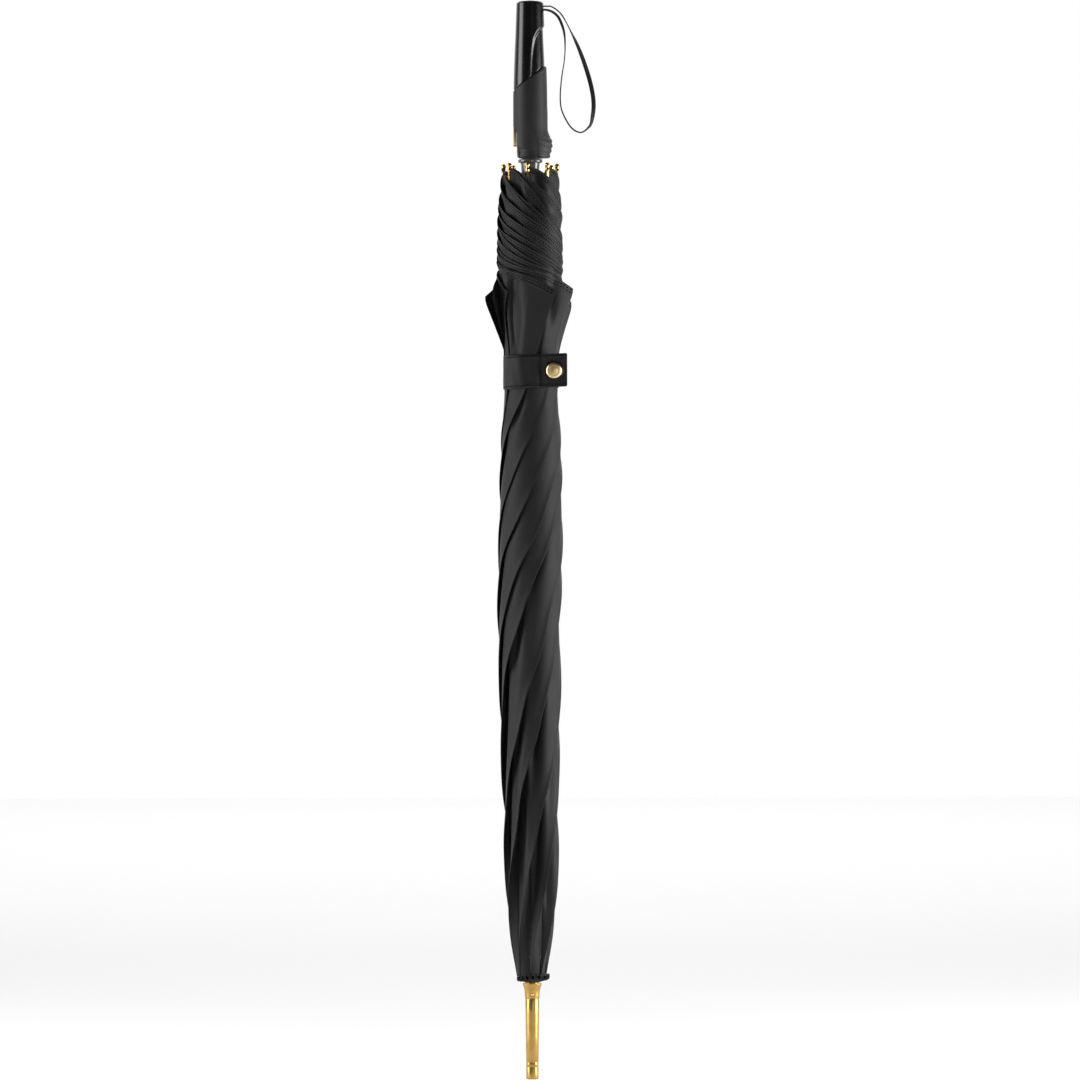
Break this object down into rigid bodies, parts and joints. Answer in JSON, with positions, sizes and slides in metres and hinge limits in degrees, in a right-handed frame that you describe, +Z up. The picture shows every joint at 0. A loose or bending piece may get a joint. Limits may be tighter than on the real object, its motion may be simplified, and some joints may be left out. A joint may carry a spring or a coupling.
{
  "type": "golf umbrella",
  "caption": "Full-length stick umbrella, closed and strapped: wound canopy on a ribbed folding frame, long metal ferrule, straight handle with push button and wrist strap.",
  "frame": {"origin": "centre of the ferrule's flat end face", "axes": "+Z up the shaft from the ferrule to the handle, -Y out of the tie strap's snap, +X towards the wrist strap and the finger rest"},
  "size_m": [0.0915, 0.0658, 0.9805],
  "materials": {
    "shaft_steel": "satin",
    "ferrule_gold": "satin gold, turned",
    "rivet_gold": "polished",
    "hub_zinc": "cast, satin",
    "pin_steel": "polished",
    "rosette_fabric": "woven polyester",
    "canopy_fabric": "woven pongee, water-repellent sheen",
    "plug_plastic": "moulded",
    "spring_steel": "drawn wire",
    "handle_gloss": "piano black",
    "grip_rubber": "soft-touch, matt",
    "end_cap_pale": "smooth",
    "wrist_webbing": "flat woven ribbon",
    "runner_plastic": "smoky grey, glossy",
    "button_gold": "satin gold",
    "latch_steel": "stamped",
    "strap_webbing": "folded canopy fabric, stitched",
    "stud_black": "moulded",
    "snap_gold": "satin gold",
    "rib_gold": "gold plated",
    "tip_gold": "gold plated",
    "stretcher_steel": "plated"
  },
  "bodies": {
    "root": {"shaft_tube": "shaft_steel", "ferrule": "ferrule_gold", "ferrule_cup": "ferrule_gold", "cup_rivet": "rivet_gold", "crown_hub": "hub_zinc", "crown_wire": "pin_steel", "rosette": "rosette_fabric", "canopy_crown": "canopy_fabric", "spring_plug": "plug_plastic", "opening_spring": "spring_steel", "stop_pin": "pin_steel", "handle_shell": "handle_gloss", "handle_grip": "grip_rubber", "handle_end_cap": "end_cap_pale", "strap_pin": "pin_steel", "wrist_strap": "wrist_webbing", "button_spring": "spring_steel"},
    "runner_body": {"runner": "runner_plastic", "drive_pin": "pin_steel"},
    "button_body": {"push_button": "button_gold"},
    "latch_body": {"latch": "latch_steel"},
    "rib_1_body": {"rib_1": "rib_gold", "rib_tip_1": "tip_gold", "tie_strap": "strap_webbing", "snap_stud": "stud_black"},
    "stretcher_1_body": {"stretcher_1": "stretcher_steel"},
    "gore_1_body": {"gore_1": "canopy_fabric"},
    "rib_2_body": {"rib_2": "rib_gold", "rib_tip_2": "tip_gold"},
    "stretcher_2_body": {"stretcher_2": "stretcher_steel"},
    "gore_2_body": {"gore_2": "canopy_fabric"},
    "rib_3_body": {"rib_3": "rib_gold", "rib_tip_3": "tip_gold"},
    "stretcher_3_body": {"stretcher_3": "stretcher_steel"},
    "gore_3_body": {"gore_3": "canopy_fabric"},
    "rib_4_body": {"rib_4": "rib_gold", "rib_tip_4": "tip_gold"},
    "stretcher_4_body": {"stretcher_4": "stretcher_steel"},
    "gore_4_body": {"gore_4": "canopy_fabric"},
    "rib_5_body": {"rib_5": "rib_gold", "rib_tip_5": "tip_gold"},
    "stretcher_5_body": {"stretcher_5": "stretcher_steel"},
    "gore_5_body": {"gore_5": "canopy_fabric"},
    "rib_6_body": {"rib_6": "rib_gold", "rib_tip_6": "tip_gold"},
    "stretcher_6_body": {"stretcher_6": "stretcher_steel"},
    "gore_6_body": {"gore_6": "canopy_fabric"},
    "rib_7_body": {"rib_7": "rib_gold", "rib_tip_7": "tip_gold"},
    "stretcher_7_body": {"stretcher_7": "stretcher_steel"},
    "gore_7_body": {"gore_7": "canopy_fabric"},
    "rib_8_body": {"rib_8": "rib_gold", "rib_tip_8": "tip_gold"},
    "stretcher_8_body": {"stretcher_8": "stretcher_steel"},
    "gore_8_body": {"gore_8": "canopy_fabric"},
    "strap_tab_body": {"strap_tab": "strap_webbing", "snap_cap": "snap_gold"}
  },
  "joints": [
    {"name": "runner_slide", "type": "slide", "parent": "root", "child": "runner_body", "axis": [0, 0, -1], "range_m": [0, 0.33653], "deforming": ["opening_spring", "tie_strap"]},
    {"name": "push_button", "type": "slide", "parent": "root", "child": "button_body", "axis": [1, 0, 0], "range_m": [0, 0.0025], "stiffness_N_per_m": 400, "springref_m": -0.003, "deforming": ["button_spring"]},
    {"name": "latch_slide", "type": "slide", "parent": "root", "child": "latch_body", "axis": [1, 0, 0], "range_m": [0, 0.00085]},
    {"name": "rib_1_hinge", "type": "hinge", "parent": "root", "child": "rib_1_body", "pos_m": [-0.00094, -0.00895, 0.105], "axis": [0.9945, -0.1045, 0], "range_deg": [0, 61.2]},
    {"name": "stretcher_1_hinge", "type": "hinge", "parent": "rib_1_body", "child": "stretcher_1_body", "pos_m": [-0.0015, -0.01431, 0.42245], "axis": [0.9945, -0.1045, 0], "range_deg": [-122.4, 0]},
    {"name": "gore_1_hinge", "type": "hinge", "parent": "rib_1_body", "child": "gore_1_body", "pos_m": [0.00277, -0.00934, 0.105], "axis": [-0.2495, 0.8422, -0.478], "range_deg": [0, 45]},
    {"name": "rib_2_hinge", "type": "hinge", "parent": "root", "child": "rib_2_body", "pos_m": [0.00566, -0.00699, 0.105], "axis": [0.7771, 0.6293, 0], "range_deg": [0, 61.2]},
    {"name": "stretcher_2_hinge", "type": "hinge", "parent": "rib_2_body", "child": "stretcher_2_body", "pos_m": [0.00906, -0.01118, 0.42245], "axis": [0.7771, 0.6293, 0], "range_deg": [-122.4, 0]},
    {"name": "gore_2_hinge", "type": "hinge", "parent": "rib_2_body", "child": "gore_2_body", "pos_m": [0.00856, -0.00465, 0.105], "axis": [-0.7719, 0.4191, -0.478], "range_deg": [0, 45]},
    {"name": "rib_3_hinge", "type": "hinge", "parent": "root", "child": "rib_3_body", "pos_m": [0.00895, -0.00094, 0.105], "axis": [0.1045, 0.9945, 0], "range_deg": [0, 61.2]},
    {"name": "stretcher_3_hinge", "type": "hinge", "parent": "rib_3_body", "child": "stretcher_3_body", "pos_m": [0.01431, -0.0015, 0.42245], "axis": [0.1045, 0.9945, 0], "range_deg": [-122.4, 0]},
    {"name": "gore_3_hinge", "type": "hinge", "parent": "rib_3_body", "child": "gore_3_body", "pos_m": [0.00934, 0.00277, 0.105], "axis": [-0.8422, -0.2495, -0.478], "range_deg": [0, 45]},
    {"name": "rib_4_hinge", "type": "hinge", "parent": "root", "child": "rib_4_body", "pos_m": [0.00699, 0.00566, 0.105], "axis": [-0.6293, 0.7771, 0], "range_deg": [0, 61.2]},
    {"name": "stretcher_4_hinge", "type": "hinge", "parent": "rib_4_body", "child": "stretcher_4_body", "pos_m": [0.01118, 0.00906, 0.42245], "axis": [-0.6293, 0.7771, 0], "range_deg": [-122.4, 0]},
    {"name": "gore_4_hinge", "type": "hinge", "parent": "rib_4_body", "child": "gore_4_body", "pos_m": [0.00465, 0.00856, 0.105], "axis": [-0.4191, -0.7719, -0.478], "range_deg": [0, 45]},
    {"name": "rib_5_hinge", "type": "hinge", "parent": "root", "child": "rib_5_body", "pos_m": [0.00094, 0.00895, 0.105], "axis": [-0.9945, 0.1045, 0], "range_deg": [0, 61.2]},
    {"name": "stretcher_5_hinge", "type": "hinge", "parent": "rib_5_body", "child": "stretcher_5_body", "pos_m": [0.0015, 0.01431, 0.42245], "axis": [-0.9945, 0.1045, 0], "range_deg": [-122.4, 0]},
    {"name": "gore_5_hinge", "type": "hinge", "parent": "rib_5_body", "child": "gore_5_body", "pos_m": [-0.00277, 0.00934, 0.105], "axis": [0.2495, -0.8422, -0.478], "range_deg": [0, 45]},
    {"name": "rib_6_hinge", "type": "hinge", "parent": "root", "child": "rib_6_body", "pos_m": [-0.00566, 0.00699, 0.105], "axis": [-0.7771, -0.6293, 0], "range_deg": [0, 61.2]},
    {"name": "stretcher_6_hinge", "type": "hinge", "parent": "rib_6_body", "child": "stretcher_6_body", "pos_m": [-0.00906, 0.01118, 0.42245], "axis": [-0.7771, -0.6293, 0], "range_deg": [-122.4, 0]},
    {"name": "gore_6_hinge", "type": "hinge", "parent": "rib_6_body", "child": "gore_6_body", "pos_m": [-0.00856, 0.00465, 0.105], "axis": [0.7719, -0.4191, -0.478], "range_deg": [0, 45]},
    {"name": "rib_7_hinge", "type": "hinge", "parent": "root", "child": "rib_7_body", "pos_m": [-0.00895, 0.00094, 0.105], "axis": [-0.1045, -0.9945, 0], "range_deg": [0, 61.2]},
    {"name": "stretcher_7_hinge", "type": "hinge", "parent": "rib_7_body", "child": "stretcher_7_body", "pos_m": [-0.01431, 0.0015, 0.42245], "axis": [-0.1045, -0.9945, 0], "range_deg": [-122.4, 0]},
    {"name": "gore_7_hinge", "type": "hinge", "parent": "rib_7_body", "child": "gore_7_body", "pos_m": [-0.00934, -0.00277, 0.105], "axis": [0.8422, 0.2495, -0.478], "range_deg": [0, 45]},
    {"name": "rib_8_hinge", "type": "hinge", "parent": "root", "child": "rib_8_body", "pos_m": [-0.00699, -0.00566, 0.105], "axis": [0.6293, -0.7771, 0], "range_deg": [0, 61.2]},
    {"name": "stretcher_8_hinge", "type": "hinge", "parent": "rib_8_body", "child": "stretcher_8_body", "pos_m": [-0.01118, -0.00906, 0.42245], "axis": [0.6293, -0.7771, 0], "range_deg": [-122.4, 0]},
    {"name": "gore_8_hinge", "type": "hinge", "parent": "rib_8_body", "child": "gore_8_body", "pos_m": [-0.00465, -0.00856, 0.105], "axis": [0.4191, 0.7719, -0.478], "range_deg": [0, 45]},
    {"name": "strap_tab_hinge", "type": "hinge", "parent": "rib_1_body", "child": "strap_tab_body", "pos_m": [0.0095, -0.0252, 0.64325], "axis": [0, 0, -1], "range_deg": [0, 110]}
  ],
  "couplings": [
    {"joint": "latch_slide", "follows": "push_button", "ratio": 0.32},
    {"joint": "rib_1_hinge", "follows": "runner_slide", "rad_per_m": 3.1636},
    {"joint": "stretcher_1_hinge", "follows": "runner_slide", "rad_per_m": -6.3272},
    {"joint": "gore_1_hinge", "follows": "runner_slide", "rad_per_m": 2.3233},
    {"joint": "rib_2_hinge", "follows": "runner_slide", "rad_per_m": 3.1636},
    {"joint": "stretcher_2_hinge", "follows": "runner_slide", "rad_per_m": -6.3272},
    {"joint": "gore_2_hinge", "follows": "runner_slide", "rad_per_m": 2.3233},
    {"joint": "rib_3_hinge", "follows": "runner_slide", "rad_per_m": 3.1636},
    {"joint": "stretcher_3_hinge", "follows": "runner_slide", "rad_per_m": -6.3272},
    {"joint": "gore_3_hinge", "follows": "runner_slide", "rad_per_m": 2.3233},
    {"joint": "rib_4_hinge", "follows": "runner_slide", "rad_per_m": 3.1636},
    {"joint": "stretcher_4_hinge", "follows": "runner_slide", "rad_per_m": -6.3272},
    {"joint": "gore_4_hinge", "follows": "runner_slide", "rad_per_m": 2.3233},
    {"joint": "rib_5_hinge", "follows": "runner_slide", "rad_per_m": 3.1636},
    {"joint": "stretcher_5_hinge", "follows": "runner_slide", "rad_per_m": -6.3272},
    {"joint": "gore_5_hinge", "follows": "runner_slide", "rad_per_m": 2.3233},
    {"joint": "rib_6_hinge", "follows": "runner_slide", "rad_per_m": 3.1636},
    {"joint": "stretcher_6_hinge", "follows": "runner_slide", "rad_per_m": -6.3272},
    {"joint": "gore_6_hinge", "follows": "runner_slide", "rad_per_m": 2.3233},
    {"joint": "rib_7_hinge", "follows": "runner_slide", "rad_per_m": 3.1636},
    {"joint": "stretcher_7_hinge", "follows": "runner_slide", "rad_per_m": -6.3272},
    {"joint": "gore_7_hinge", "follows": "runner_slide", "rad_per_m": 2.3233},
    {"joint": "rib_8_hinge", "follows": "runner_slide", "rad_per_m": 3.1636},
    {"joint": "stretcher_8_hinge", "follows": "runner_slide", "rad_per_m": -6.3272},
    {"joint": "gore_8_hinge", "follows": "runner_slide", "rad_per_m": 2.3233}
  ]
}
